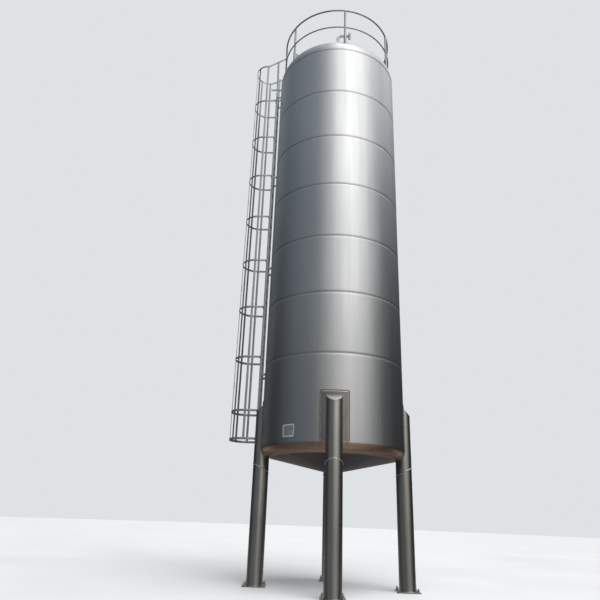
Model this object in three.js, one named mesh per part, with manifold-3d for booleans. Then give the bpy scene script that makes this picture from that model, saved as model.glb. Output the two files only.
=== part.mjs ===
// Vertical storage tank: a stainless shell of seven courses with a dished roof and a shallow conical
// bottom, on four tubular legs, with a caged ladder, a roof guardrail, a roof nozzle and a bottom outlet.
// Millimetres, +Z up. Azimuths are in degrees, counted from the front (-Y) towards the right (+X).

import * as THREE from 'three';
import { mergeVertices } from 'three/addons/utils/BufferGeometryUtils.js';
import Module from 'manifold-3d';

const wasm = await Module();
wasm.setup();

// Driving dimensions

const GAP = 0.3;
const FACETS = 64;
const SHELL_R = 1500;
const WALL = 6;
const SHELL_BOTTOM = 2592;
const LOWEST_SEAM = 4303;
const COURSE = 1294.5;
const COURSES = 7;
const TOP_SEAM = LOWEST_SEAM + (COURSES - 1) * COURSE;

const ROOF_SKIRT = 50;
const ROOF_KNUCKLE_R = 450;
const ROOF_CROWN_R = 2400;
const BOTTOM_KNUCKLE_R = 175;
const BOTTOM_CONE_DEG = 12.5;

const LEG_CIRCLE_R = 1480;
const LEG_R = 162;
const LEG_CAP_WALL_Z = 3455;
const LEG_CAP_FRONT_Z = 3340;
const LEG_JOINT_FRONT_Z = 2290;
const LEG_JOINT_DEG = 28;
const LEG_BAR_TOP = 4000;
const FOOT_SIZE = 450;
const FOOT_T = 20;
const PAD_T = 12;
const PAD_BOTTOM = 2605;
const PAD_TOP = 3535;
const PAD_HALF_DEG = 9.8;

const LADDER_AZIMUTH = -90;
const LADDER_SHIFT = -370;
const LADDER_OUT = 1626;
const LADDER_BOTTOM = 2720;
const STILE_X = 210;
const STILE_DEPTH = 50;
const STILE_T = 10;
const STILE_BEND_Z = 12350;
const STILE_FLARE_Z = 13060;
const STILE_TOP = 13180;
const RUNG_R = 14;
const RUNG_PITCH = 300;
const TOP_RUNG = 12100;
const RUNGS = 32;
const BRACKET_LEVELS = [4230, 6850, 9440, 12030, 12290];
const BRACKET_W = 60;
const BRACKET_T = 10;
const BRACKET_START = 1300;

const HOOP_CENTRE_OUT = 1900;
const HOOP_R = 343.73;
const HOOP_T = 8;
const HOOP_W = 50;
const HOOP_PITCH = 1200;
const TOP_HOOP = 13000;
const ARM_END_Z = 13270;
const BOTTOM_HOOP = 2800;
const CAGE_SPLITS = [BOTTOM_HOOP - HOOP_W / 2, 4000, 6400, 8800, 11200, TOP_HOOP + HOOP_W / 2];
const CAGE_BAR_ANGLES = [-90, -45, 0, 45, 90];

const RAIL_CIRCLE_R = 1404;
const RAIL_R = 21;
const MID_RAIL_R = 17;
const TOP_RAIL_Z = 13470;
const MID_RAIL_Z = 12902;
const POST_R = 26;
const POST_START_Z = 12000;
const GATE_POSTS = [-91, 239.45];
const POST_AZIMUTHS = [7, 67, 127, 187, GATE_POSTS[1], GATE_POSTS[0], -53];

const ROOF_NOZZLE_AZIMUTH = 0;
const ROOF_NOZZLE_R = 1200;
const ROOF_NOZZLE_PIPE_R = 38;
const ROOF_NOZZLE_RISE = 12815;
const ROOF_NOZZLE_BEND_R = 95;
const ROOF_NOZZLE_REACH = 275;
const ROOF_NOZZLE_PIPE_LENGTH = 500;
const ROOF_FLANGE_R = 92;
const ROOF_FLANGE_T = 36;

const OUTLET_PIPE_R = 57;
const OUTLET_FACE_Z = 1960;
const OUTLET_FLANGE_R = 110;
const OUTLET_FLANGE_T = 44;

const PLATE_AZIMUTH = -35.7;
const PLATE_HALF_DEG = 5.2;
const PLATE_T = 4;
const PLATE_BOTTOM = 2695;
const PLATE_TOP = 2930;

// Materials

const polished = { color: 0xb4b8bc, roughness: 0.28, metalness: 1 };
const pipe = { color: 0xa7a9aa, roughness: 0.32, metalness: 1 };
const galvanised = { color: 0x8d9092, roughness: 0.5, metalness: 0.9 };
const bare = { color: 0xdfe1e2, roughness: 0.45, metalness: 0.6 };

// Closed shapes as solids that can be cut and joined, and back again

const radians = THREE.MathUtils.degToRad;

function solid(geometry) {
  const bareGeometry = geometry.clone();
  bareGeometry.deleteAttribute('uv');
  bareGeometry.deleteAttribute('normal');
  const merged = mergeVertices(bareGeometry, 1e-3);
  const points = merged.attributes.position;
  const index = merged.index.array;
  const triangles = [];
  let volume = 0;
  const a = new THREE.Vector3();
  const b = new THREE.Vector3();
  const c = new THREE.Vector3();
  for (let i = 0; i < index.length; i += 3) {
    const [p, q, r] = [index[i], index[i + 1], index[i + 2]];
    if (p === q || q === r || r === p) continue;
    triangles.push(p, q, r);
    a.fromBufferAttribute(points, p);
    b.fromBufferAttribute(points, q);
    c.fromBufferAttribute(points, r);
    volume += a.dot(b.cross(c));
  }
  if (volume < 0) triangles.reverse();
  return new wasm.Manifold(new wasm.Mesh({
    numProp: 3,
    vertProperties: new Float32Array(points.array),
    triVerts: new Uint32Array(triangles),
  }));
}

function shape(manifold) {
  const mesh = manifold.getMesh();
  const geometry = new THREE.BufferGeometry();
  geometry.setAttribute('position', new THREE.BufferAttribute(new Float32Array(mesh.vertProperties), 3));
  geometry.setIndex(new THREE.BufferAttribute(new Uint32Array(mesh.triVerts), 1));
  return geometry;
}

function joined(geometries) {
  return geometries.map(solid).reduce((sum, piece) => sum.add(piece));
}

// Basic forms: a body of revolution about Z, an upright prism, a block and a round bar

function revolved(profile, facets = FACETS) {
  const points = profile.map(([r, z]) => new THREE.Vector2(r, z));
  return new THREE.LatheGeometry(points, facets).rotateX(Math.PI / 2);
}

function prism(outline, bottom, top) {
  const plan = new THREE.Shape(outline.map(([x, y]) => new THREE.Vector2(x, y)));
  const settings = { depth: top - bottom, bevelEnabled: false };
  return new THREE.ExtrudeGeometry(plan, settings).translate(0, 0, bottom);
}

function block(size, centre) {
  return new THREE.BoxGeometry(...size).translate(...centre);
}

function upright(radius, bottom, top, sides) {
  return new THREE.CylinderGeometry(radius, radius, top - bottom, sides)
    .rotateX(Math.PI / 2)
    .translate(0, 0, (bottom + top) / 2);
}

function arcPoints(radius, from, to, steps) {
  return Array.from({ length: steps + 1 }, (_, i) => {
    const angle = radians(from + (to - from) * i / steps);
    return [radius * Math.sin(angle), -radius * Math.cos(angle)];
  });
}

// Radius of the faceted shell at an azimuth, for a wall whose corners lie at the given radius
function facetRadius(cornerRadius, azimuth) {
  const step = 360 / FACETS;
  const off = ((azimuth % step) + step) % step - step / 2;
  return cornerRadius * Math.cos(radians(step / 2)) / Math.cos(radians(off));
}

// Plate that lies on the shell's outside between two azimuths
function shellPlate(centre, half, thickness, bottom, top) {
  const step = 360 / FACETS;
  const azimuths = [centre - half];
  for (let k = Math.ceil((centre - half) / step); k * step < centre + half; k += 1) azimuths.push(k * step);
  azimuths.push(centre + half);
  const row = (corner, list) => list.map((azimuth) => {
    const radius = facetRadius(corner, azimuth);
    return [radius * Math.sin(radians(azimuth)), -radius * Math.cos(radians(azimuth))];
  });
  const inner = row(SHELL_R + GAP * 1.2, azimuths);
  const outer = row(SHELL_R + GAP * 1.2 + thickness, azimuths.slice().reverse());
  return prism([...inner, ...outer], bottom, top);
}

// Outlines of the two ends, from the rim to the axis, for the outer face moved out by an offset

const roofTangent = TOP_SEAM + ROOF_SKIRT;
const roofKnuckleCentre = SHELL_R - ROOF_KNUCKLE_R;
const roofReach = ROOF_CROWN_R - ROOF_KNUCKLE_R;
const crownAngle = Math.asin(roofKnuckleCentre / roofReach);
const crownCentreZ = roofTangent - Math.sqrt(roofReach ** 2 - roofKnuckleCentre ** 2);

function knuckleOutline(offset) {
  const steps = 4;
  const radius = ROOF_KNUCKLE_R + offset;
  return Array.from({ length: steps + 1 }, (_, i) => {
    const angle = (Math.PI / 2 - crownAngle) * i / steps;
    return [roofKnuckleCentre + radius * Math.cos(angle), roofTangent + radius * Math.sin(angle)];
  });
}

function crownOutline(offset, rimGap = 0) {
  const steps = 5;
  const radius = ROOF_CROWN_R + offset;
  const rim = crownAngle - rimGap / ROOF_CROWN_R;
  return Array.from({ length: steps + 1 }, (_, i) => {
    const angle = rim * (1 - i / steps);
    return [i === steps ? 0 : radius * Math.sin(angle), crownCentreZ + radius * Math.cos(angle)];
  });
}

function bottomOutline(offset) {
  const knuckleCentre = SHELL_R - BOTTOM_KNUCKLE_R;
  const radius = BOTTOM_KNUCKLE_R + offset;
  const points = [];
  const steps = 4;
  for (let i = 0; i <= steps; i += 1) {
    const angle = radians(90 - BOTTOM_CONE_DEG) * i / steps;
    points.push([knuckleCentre + radius * Math.cos(angle), SHELL_BOTTOM - radius * Math.sin(angle)]);
  }
  const [rim, height] = points[steps];
  points.push([0, height - rim * Math.tan(radians(BOTTOM_CONE_DEG))]);
  return points;
}

// The closed vessel's outer form, a gap larger, that everything welded to it is cut by
const vessel = solid(revolved([
  ...bottomOutline(GAP).reverse(),
  ...knuckleOutline(GAP),
  ...crownOutline(GAP).slice(1),
]));

const tank = new THREE.Group();

function add(name, geometry, look, parent = tank) {
  const mesh = new THREE.Mesh(geometry, new THREE.MeshStandardMaterial(look));
  mesh.name = name;
  parent.add(mesh);
  return mesh;
}

// Shell courses, from the bottom up

for (let i = 0; i < COURSES; i += 1) {
  const bottom = i === 0 ? SHELL_BOTTOM + GAP : LOWEST_SEAM + (i - 1) * COURSE;
  const top = LOWEST_SEAM + i * COURSE - GAP;
  const wall = [
    [SHELL_R - WALL, bottom],
    [SHELL_R, bottom],
    [SHELL_R, top],
    [SHELL_R - WALL, top],
    [SHELL_R - WALL, bottom],
  ];
  add(`shell_course_${i + 1}`, revolved(wall), polished);
}

// Dished roof: the ring with the rounded edge and short skirt, and the crown; then the conical bottom

const roofRing = [
  ...knuckleOutline(-WALL).reverse(),
  [SHELL_R - WALL, TOP_SEAM],
  [SHELL_R, TOP_SEAM],
  ...knuckleOutline(0),
  knuckleOutline(-WALL).at(-1),
];
add('roof_knuckle_ring', revolved(roofRing), polished);
add('roof_crown', revolved([...crownOutline(-WALL, GAP).reverse(), ...crownOutline(0, GAP)]), polished);

const bottomProfile = [
  ...bottomOutline(0).reverse(),
  ...bottomOutline(-WALL),
];
add('bottom_head', revolved(bottomProfile), polished);

// Slab with a side view given as pairs of distance to the front and height
function sideView(points, width) {
  const outline = new THREE.Shape(points.map(([out, z]) => new THREE.Vector2(-out, z)));
  return new THREE.ExtrudeGeometry(outline, { depth: width, bevelEnabled: false })
    .translate(0, 0, -width / 2)
    .rotateX(Math.PI / 2)
    .rotateZ(Math.PI / 2);
}

// Slab with a front view given as pairs of distance to the right and height
function frontView(points, width) {
  const outline = new THREE.Shape(points.map(([x, z]) => new THREE.Vector2(x, z)));
  return new THREE.ExtrudeGeometry(outline, { depth: width, bevelEnabled: false })
    .translate(0, 0, -width / 2)
    .rotateX(Math.PI / 2);
}

// Legs: base plate, lower leg, upper leg coped onto the shell under a slanted cap, and the pad behind it

const legInner = LEG_CIRCLE_R - 300;
const legOuter = LEG_CIRCLE_R + 300;
const jointSlope = Math.tan(radians(LEG_JOINT_DEG));
const jointZ = (r) => LEG_JOINT_FRONT_Z + (r - LEG_CIRCLE_R - LEG_R) * jointSlope;
const capWallR = SHELL_R + PAD_T;
const capSlope = (LEG_CAP_WALL_Z - LEG_CAP_FRONT_Z) / (LEG_CIRCLE_R + LEG_R - capWallR);
const capZ = (r) => LEG_CAP_WALL_Z - (r - capWallR) * capSlope;

const legBar = solid(upright(LEG_R, FOOT_T + GAP, LEG_BAR_TOP, 24).translate(0, -LEG_CIRCLE_R, 0));
const upperBounds = solid(sideView([
  [legInner, jointZ(legInner) + GAP],
  [legOuter, jointZ(legOuter) + GAP],
  [legOuter, capZ(legOuter)],
  [legInner, capZ(legInner)],
], 4 * LEG_R));
const lowerBounds = solid(sideView([
  [legInner, 0],
  [legOuter, 0],
  [legOuter, jointZ(legOuter)],
  [legInner, jointZ(legInner)],
], 4 * LEG_R));
const padSpace = solid(revolved([
  [0, PAD_BOTTOM - 2 * GAP],
  [SHELL_R + PAD_T + 3 * GAP, PAD_BOTTOM - 2 * GAP],
  [SHELL_R + PAD_T + 3 * GAP, PAD_TOP + 100],
  [0, PAD_TOP + 100],
]));
const upperLeg = shape(legBar.intersect(upperBounds).subtract(vessel).subtract(padSpace));
const lowerLeg = shape(legBar.intersect(lowerBounds));
const pad = shellPlate(0, PAD_HALF_DEG, PAD_T, PAD_BOTTOM, PAD_TOP);
const foot = block([FOOT_SIZE, FOOT_SIZE, FOOT_T], [0, -LEG_CIRCLE_R, FOOT_T / 2]);

['front', 'right', 'back', 'left'].forEach((side, i) => {
  const leg = new THREE.Group();
  leg.rotation.z = i * Math.PI / 2;
  add(`${side}_leg_upper`, upperLeg.clone(), pipe, leg);
  add(`${side}_leg_lower`, lowerLeg.clone(), pipe, leg);
  add(`${side}_leg_pad`, pad.clone(), polished, leg);
  add(`${side}_leg_base`, foot.clone(), pipe, leg);
  tank.add(leg);
});

// Ladder beside the tank, drawn at the front and turned to the left: stiles that flare out at the
// top, rungs and brackets

function placed(geometry) {
  return geometry.translate(LADDER_SHIFT, 0, 0).rotateZ(radians(LADDER_AZIMUTH));
}

const armInside = HOOP_R - HOOP_T / 2 - GAP;
const ladderPieces = [];
for (const side of [-1, 1]) {
  const stile = [
    [STILE_X - STILE_T / 2, LADDER_BOTTOM],
    [STILE_X + STILE_T / 2, LADDER_BOTTOM],
    [STILE_X + STILE_T / 2, STILE_BEND_Z],
    [armInside, STILE_FLARE_Z],
    [armInside, STILE_TOP],
    [armInside - STILE_T, STILE_TOP],
    [armInside - STILE_T, STILE_FLARE_Z],
    [STILE_X - STILE_T / 2, STILE_BEND_Z],
  ];
  const outline = stile.map(([x, z]) => [side * x, z]);
  ladderPieces.push(frontView(outline, STILE_DEPTH).translate(0, -LADDER_OUT, 0));
  for (const level of BRACKET_LEVELS) {
    const bracket = [BRACKET_T, LADDER_OUT - BRACKET_START, BRACKET_W];
    ladderPieces.push(block(bracket, [side * (STILE_X - 8), -(LADDER_OUT + BRACKET_START) / 2, level]));
  }
}
for (let i = 0; i < RUNGS; i += 1) {
  const rung = new THREE.CylinderGeometry(RUNG_R, RUNG_R, 2 * STILE_X, 6).rotateZ(Math.PI / 2);
  ladderPieces.push(rung.translate(0, -LADDER_OUT, TOP_RUNG - i * RUNG_PITCH));
}
const ladder = placed(shape(joined(ladderPieces)));
add('ladder', shape(solid(ladder).subtract(vessel)), galvanised);

// Cage: U-shaped hoops of flat bar, joined by five upright flat bars inside them, in five sections

const hoopOuter = HOOP_R + HOOP_T / 2;
const hoopInner = HOOP_R - HOOP_T / 2;

function bend(radius) {
  return arcPoints(radius, -90, 90, 12).map(([x, y]) => [x, y - HOOP_CENTRE_OUT]);
}

// Hoop whose arms run straight to the ladder and turn in to the outer edges of its stiles
function hoopOutline() {
  const start = STILE_X + STILE_T / 2 + GAP;
  const back = -(LADDER_OUT + STILE_DEPTH / 2 - HOOP_T);
  return [
    [-start, back],
    [-hoopOuter, back],
    ...bend(hoopOuter),
    [hoopOuter, back],
    [start, back],
    [start, back - HOOP_T],
    [hoopInner, back - HOOP_T],
    ...bend(hoopInner).reverse(),
    [-hoopInner, back - HOOP_T],
    [-start, back - HOOP_T],
  ];
}

// Top hoop, whose arms climb on to the two posts beside the guardrail's gate
function topHoop() {
  const half = HOOP_W / 2;
  const pieces = [prism([...bend(hoopOuter), ...bend(hoopInner).reverse()], TOP_HOOP - half, TOP_HOOP + half)];
  GATE_POSTS.forEach((azimuth, i) => {
    const end = Math.abs(RAIL_CIRCLE_R * Math.sin(radians(azimuth)));
    const arm = sideView([
      [HOOP_CENTRE_OUT + 1, TOP_HOOP - half],
      [end, ARM_END_Z - half],
      [end, ARM_END_Z + half],
      [HOOP_CENTRE_OUT + 1, TOP_HOOP + half],
    ], HOOP_T);
    pieces.push(arm.translate(i === 0 ? HOOP_R : -HOOP_R, 0, 0));
  });
  return pieces;
}

function cageSection(bottom, top) {
  const levels = [BOTTOM_HOOP];
  for (let z = TOP_HOOP - HOOP_PITCH; z > BOTTOM_HOOP; z -= HOOP_PITCH) levels.push(z);
  const pieces = levels
    .filter((z) => z > bottom && z < top)
    .map((z) => prism(hoopOutline(), z - HOOP_W / 2, z + HOOP_W / 2));
  if (TOP_HOOP < top) pieces.push(...topHoop());
  for (const angle of CAGE_BAR_ANGLES) {
    const bar = block([HOOP_W, HOOP_T, top - bottom], [0, -(HOOP_R - HOOP_T + 1), (top + bottom) / 2]);
    pieces.push(bar.rotateZ(radians(angle)).translate(0, -HOOP_CENTRE_OUT, 0));
  }
  return shape(joined(pieces));
}

function postBar(azimuth, radius) {
  return upright(radius, POST_START_Z, TOP_RAIL_Z, 12)
    .translate(0, -RAIL_CIRCLE_R, 0)
    .rotateZ(radians(azimuth));
}

const gateSpace = joined(GATE_POSTS.map((azimuth) => postBar(azimuth, POST_R + GAP)));
for (let i = 1; i < CAGE_SPLITS.length; i += 1) {
  const bottom = CAGE_SPLITS[i - 1] + (i > 1 ? GAP : 0);
  const section = solid(placed(cageSection(bottom, CAGE_SPLITS[i]))).subtract(gateSpace);
  add(`cage_section_${i}`, shape(section), galvanised);
}

// Guardrail: two round rails that leave a gate at the ladder, and the posts that stand on the roof

class RailPath extends THREE.Curve {
  constructor(z, from, to) {
    super();
    this.z = z;
    this.from = from;
    this.to = to;
  }

  getPoint(t) {
    const angle = radians(this.from + (this.to - this.from) * t);
    return new THREE.Vector3(RAIL_CIRCLE_R * Math.sin(angle), -RAIL_CIRCLE_R * Math.cos(angle), this.z);
  }
}

function rail(z, radius) {
  const overhang = 1;
  const from = GATE_POSTS[0] - overhang;
  const to = GATE_POSTS[1] + overhang;
  const section = new THREE.Shape();
  section.absarc(0, 0, radius, 0, 2 * Math.PI);
  const settings = { steps: 46, curveSegments: 8, extrudePath: new RailPath(z, from, to) };
  return new THREE.ExtrudeGeometry(section, settings);
}

add('top_rail', shape(solid(rail(TOP_RAIL_Z, RAIL_R))), galvanised);
add('mid_rail', shape(solid(rail(MID_RAIL_Z, MID_RAIL_R))), galvanised);

const railSpace = joined([rail(TOP_RAIL_Z, RAIL_R + GAP), rail(MID_RAIL_Z, MID_RAIL_R + GAP)]);
POST_AZIMUTHS.forEach((azimuth, i) => {
  const post = solid(postBar(azimuth, POST_R)).subtract(vessel).subtract(railSpace);
  add(`rail_post_${i + 1}`, shape(post), galvanised);
});

// Roof nozzle: a riser and an elbow that turns to the right, closed by a flange

class ElbowPath extends THREE.CurvePath {
  constructor(rise, bend, reach) {
    super();
    const low = new THREE.Vector3(0, 0, rise - ROOF_NOZZLE_PIPE_LENGTH);
    const turn = new THREE.Vector3(0, 0, rise - bend);
    const corner = new THREE.Vector3(0, 0, rise);
    const out = new THREE.Vector3(bend, 0, rise);
    this.add(new THREE.LineCurve3(low, turn));
    this.add(new THREE.QuadraticBezierCurve3(turn, corner, out));
    this.add(new THREE.LineCurve3(out, new THREE.Vector3(reach, 0, rise)));
  }
}

const nozzleTurn = radians(ROOF_NOZZLE_AZIMUTH);
const nozzleX = ROOF_NOZZLE_R * Math.sin(nozzleTurn);
const nozzleY = -ROOF_NOZZLE_R * Math.cos(nozzleTurn);
const nozzleSection = new THREE.Shape();
nozzleSection.absarc(0, 0, ROOF_NOZZLE_PIPE_R, 0, 2 * Math.PI);
const elbow = new THREE.ExtrudeGeometry(nozzleSection, {
  steps: 16,
  curveSegments: 12,
  extrudePath: new ElbowPath(ROOF_NOZZLE_RISE, ROOF_NOZZLE_BEND_R, ROOF_NOZZLE_REACH),
}).translate(nozzleX, nozzleY, 0);
add('roof_nozzle', shape(solid(elbow).subtract(vessel)), pipe);

const roofFlange = new THREE.CylinderGeometry(ROOF_FLANGE_R, ROOF_FLANGE_R, ROOF_FLANGE_T, 24)
  .rotateZ(Math.PI / 2)
  .translate(nozzleX + ROOF_NOZZLE_REACH + GAP + ROOF_FLANGE_T / 2, nozzleY, ROOF_NOZZLE_RISE);
add('roof_nozzle_flange', roofFlange, pipe);

// Bottom outlet under the middle of the cone: a short pipe with its flange, closed by a blank

const outletPipe = upright(OUTLET_PIPE_R, OUTLET_FACE_Z + OUTLET_FLANGE_T / 2, SHELL_BOTTOM, 24);
const outletFlange = upright(OUTLET_FLANGE_R, OUTLET_FACE_Z, OUTLET_FACE_Z + OUTLET_FLANGE_T, 24);
add('outlet_nozzle', shape(joined([outletPipe, outletFlange]).subtract(vessel)), pipe);

// Bare plate low on the shell

add('label_plate', shellPlate(PLATE_AZIMUTH, PLATE_HALF_DEG, PLATE_T, PLATE_BOTTOM, PLATE_TOP), bare);

// The whole tank stands on the ground plane with its bounding box centred on the origin

const bounds = new THREE.Box3().setFromObject(tank, true);
const centre = bounds.getCenter(new THREE.Vector3());
tank.position.set(-centre.x, -centre.y, 0);

export default tank;
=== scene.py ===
"""Looks of a tall stainless storage tank on four tubular legs, with a caged ladder and a roof guardrail.

Metres, +Z up. Azimuths are in degrees, counted from the front (-Y) towards the right (+X). Pieces are drawn
at the front around the Z axis, then turned to their azimuth around the tank's own axis.
"""

import math
import random

import bmesh
import bpy
from mathutils import Matrix, Vector


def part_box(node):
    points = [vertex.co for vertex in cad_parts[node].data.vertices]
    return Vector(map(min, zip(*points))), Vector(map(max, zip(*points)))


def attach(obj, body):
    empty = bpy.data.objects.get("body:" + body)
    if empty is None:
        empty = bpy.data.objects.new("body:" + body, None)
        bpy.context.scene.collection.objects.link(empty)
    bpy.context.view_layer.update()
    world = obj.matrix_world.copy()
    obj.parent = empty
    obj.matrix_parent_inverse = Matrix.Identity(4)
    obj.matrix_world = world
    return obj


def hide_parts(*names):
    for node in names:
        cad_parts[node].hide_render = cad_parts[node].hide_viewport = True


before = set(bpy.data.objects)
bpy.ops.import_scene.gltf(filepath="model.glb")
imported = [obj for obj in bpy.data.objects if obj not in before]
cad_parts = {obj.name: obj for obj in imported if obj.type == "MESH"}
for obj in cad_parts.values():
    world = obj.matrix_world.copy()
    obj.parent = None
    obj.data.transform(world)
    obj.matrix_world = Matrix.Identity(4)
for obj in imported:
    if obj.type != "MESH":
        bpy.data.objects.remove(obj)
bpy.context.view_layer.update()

# Sizes, the same as the solids'

crown_low, crown_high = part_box("roof_crown")
AXIS_X = (crown_low.x + crown_high.x) / 2
SHELL_R = 1.5
WALL = 0.006
SHELL_BOTTOM = 2.592
LOWEST_SEAM = 4.303
COURSE = 1.2945
COURSES = 7
SEAMS = [LOWEST_SEAM + i * COURSE for i in range(COURSES)]

ROOF_SKIRT = 0.05
ROOF_KNUCKLE_R = 0.45
ROOF_CROWN_R = 2.4
BOTTOM_KNUCKLE_R = 0.175
BOTTOM_CONE = math.radians(12.5)

LEG_CIRCLE_R = 1.48
LEG_R = 0.162
LEG_CAP_WALL_Z = 3.455
LEG_CAP_FRONT_Z = 3.34
LEG_JOINT_FRONT_Z = 2.29
LEG_JOINT_SLOPE = math.tan(math.radians(28))
FOOT_SIZE = 0.45
FOOT_T = 0.02
PAD_T = 0.012
PAD_BOTTOM = 2.605
PAD_TOP = 3.535
PAD_HALF_DEG = 9.8
SIDES = ("front", "right", "back", "left")

LADDER_AZIMUTH = -90
LADDER_SHIFT = -0.37
LADDER_OUT = 1.626
LADDER_BOTTOM = 2.72
STILE_X = 0.21
STILE_DEPTH = 0.05
STILE_T = 0.01
STILE_BEND_Z = 12.35
STILE_FLARE_Z = 13.06
STILE_TOP = 13.18
RUNG_R = 0.014
RUNG_PITCH = 0.3
TOP_RUNG = 12.1
RUNGS = 32
BRACKET_W = 0.06
BRACKET_T = 0.01
BRACKET_LEVELS = (4.23, 6.85, 9.44, 12.03, 12.29)
TOP_BRACKET_OUT = 0.17

HOOP_CENTRE_OUT = 1.9
HOOP_R = 0.34
HOOP_T = 0.007
HOOP_W = 0.05
HOOP_PITCH = 1.2
TOP_HOOP = 13.0
ARM_END_Z = 13.27
BOTTOM_HOOP = 2.8
CAGE_SPLITS = (2.775, 4.0, 6.4, 8.8, 11.2, 13.025)
CAGE_BAR_ANGLES = (-90, -45, 0, 45, 90)

RAIL_CIRCLE_R = 1.404
RAIL_R = 0.0208
MID_RAIL_R = 0.0168
TOP_RAIL_Z = 13.47
MID_RAIL_Z = 12.902
POST_R = 0.026
GATE_POSTS = (-91, 239.45)
POST_AZIMUTHS = (7, 67, 127, 187, GATE_POSTS[1], GATE_POSTS[0], -53)

NOZZLE_OUT = 1.2
NOZZLE_PIPE_R = 0.0375
NOZZLE_RISE = 12.815
NOZZLE_BEND_R = 0.095
NOZZLE_REACH = 0.275
NOZZLE_FLANGE_R = 0.092
NOZZLE_FLANGES_T = 0.036

OUTLET_PIPE_R = 0.057
OUTLET_FACE_Z = 1.96
OUTLET_FLANGE_R = 0.11
OUTLET_FLANGES_T = 0.044

PLATE_AZIMUTH = -35.7
PLATE_HALF_DEG = 5.2
PLATE_BOTTOM = 2.695
PLATE_TOP = 2.93

# Sizes of what only the scene has. Beads are given by their radius, bolts by their width across flats

SHEET_R = SHELL_R - 0.0025  # the drawn sheet lies a little inside the solid's face
DIP_DEPTH = 0.005  # the sheets are drawn in at the girth welds
DIP_WIDTH = 0.017
WELD_MARK_WIDTH = 0.022
COURSE_GAP = 0.0002
GAP = 0.0003
CAP_T = 0.008
JOINT_BEAD = 0.011
PAD_BEAD = 0.01
LEG_BEAD = 0.0065
PIPE_BEAD = 0.006
THIN_BEAD = 0.0045
HOOP_BEAD = 0.0035
RAIL_BEAD = 0.003
FOOT_BOLT = 0.041
FOOT_BOLT_INSET = 0.178
SMALL_BOLT = 0.017
GUSSET_REACH = 0.12
GUSSET_TOP = 12.62
GUSSET_T = 0.008
SLEEVE_R = 0.034

rng = random.Random(7)


# Camera at the photograph's place: eye height 1.3 m, looking up along the tank

CAMERA_DISTANCE = 11.9595
CAMERA_AZIMUTH = math.radians(-1.4)
CAMERA_HEIGHT = 1.3
CAMERA_TURN = math.radians(-2.3756)
CAMERA_TILT = math.radians(21.3476)
CAMERA_ROLL = math.radians(2.0417)
FOCAL_PIXELS = 551.6661
IMAGE_PIXELS = 600
SENSOR_MM = 36


def in_scene(name, data):
    """New object of some data, linked to the scene."""
    thing = bpy.data.objects.new(name, data)
    bpy.context.scene.collection.objects.link(thing)
    return thing


def make_camera():
    forward = Vector((
        math.sin(CAMERA_TURN) * math.cos(CAMERA_TILT),
        math.cos(CAMERA_TURN) * math.cos(CAMERA_TILT),
        math.sin(CAMERA_TILT),
    ))
    right = Vector((math.cos(CAMERA_TURN), -math.sin(CAMERA_TURN), 0))
    up = right.cross(forward)
    rolled_right = math.cos(CAMERA_ROLL) * right + math.sin(CAMERA_ROLL) * up
    rolled_up = math.cos(CAMERA_ROLL) * up - math.sin(CAMERA_ROLL) * right
    data = bpy.data.cameras.new("camera")
    data.sensor_width = SENSOR_MM
    data.lens = FOCAL_PIXELS * SENSOR_MM / IMAGE_PIXELS
    data.clip_end = 400
    camera = in_scene("camera", data)
    camera.location = (
        AXIS_X + CAMERA_DISTANCE * math.sin(CAMERA_AZIMUTH),
        -CAMERA_DISTANCE * math.cos(CAMERA_AZIMUTH),
        CAMERA_HEIGHT,
    )
    camera.rotation_mode = "QUATERNION"
    axes = Matrix((rolled_right, rolled_up, -forward)).transposed()
    camera.rotation_quaternion = axes.to_quaternion()
    bpy.context.scene.camera = camera


make_camera()


# Procedural materials


class Graph:
    """Node tree of a material or world, with short calls for its nodes."""

    def __init__(self, owner):
        owner.use_nodes = True
        self.tree = owner.node_tree
        self.tree.nodes.clear()

    def new(self, kind, **inputs):
        """Node with values or links at the inputs named, where an underscore stands for a space."""
        node = self.tree.nodes.new(kind)
        for name, value in inputs.items():
            self.put(value, node.inputs[name.replace("_", " ")])
        return node

    def put(self, value, socket):
        if isinstance(value, bpy.types.NodeSocket):
            self.tree.links.new(value, socket)
        elif isinstance(value, tuple) and socket.type == "RGBA":
            socket.default_value = (*value, 1)
        else:
            socket.default_value = value

    def operation(self, kind, name, *values):
        node = self.new(kind)
        node.operation = name
        for value, socket in zip(values, node.inputs):
            self.put(value, socket)
        return node

    def math(self, name, first, second):
        return self.operation("ShaderNodeMath", name, first, second).outputs[0]

    def times(self, first, second):
        return self.math("MULTIPLY", first, second)

    def positive(self, value):
        return self.math("MAXIMUM", value, 0)


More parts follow.
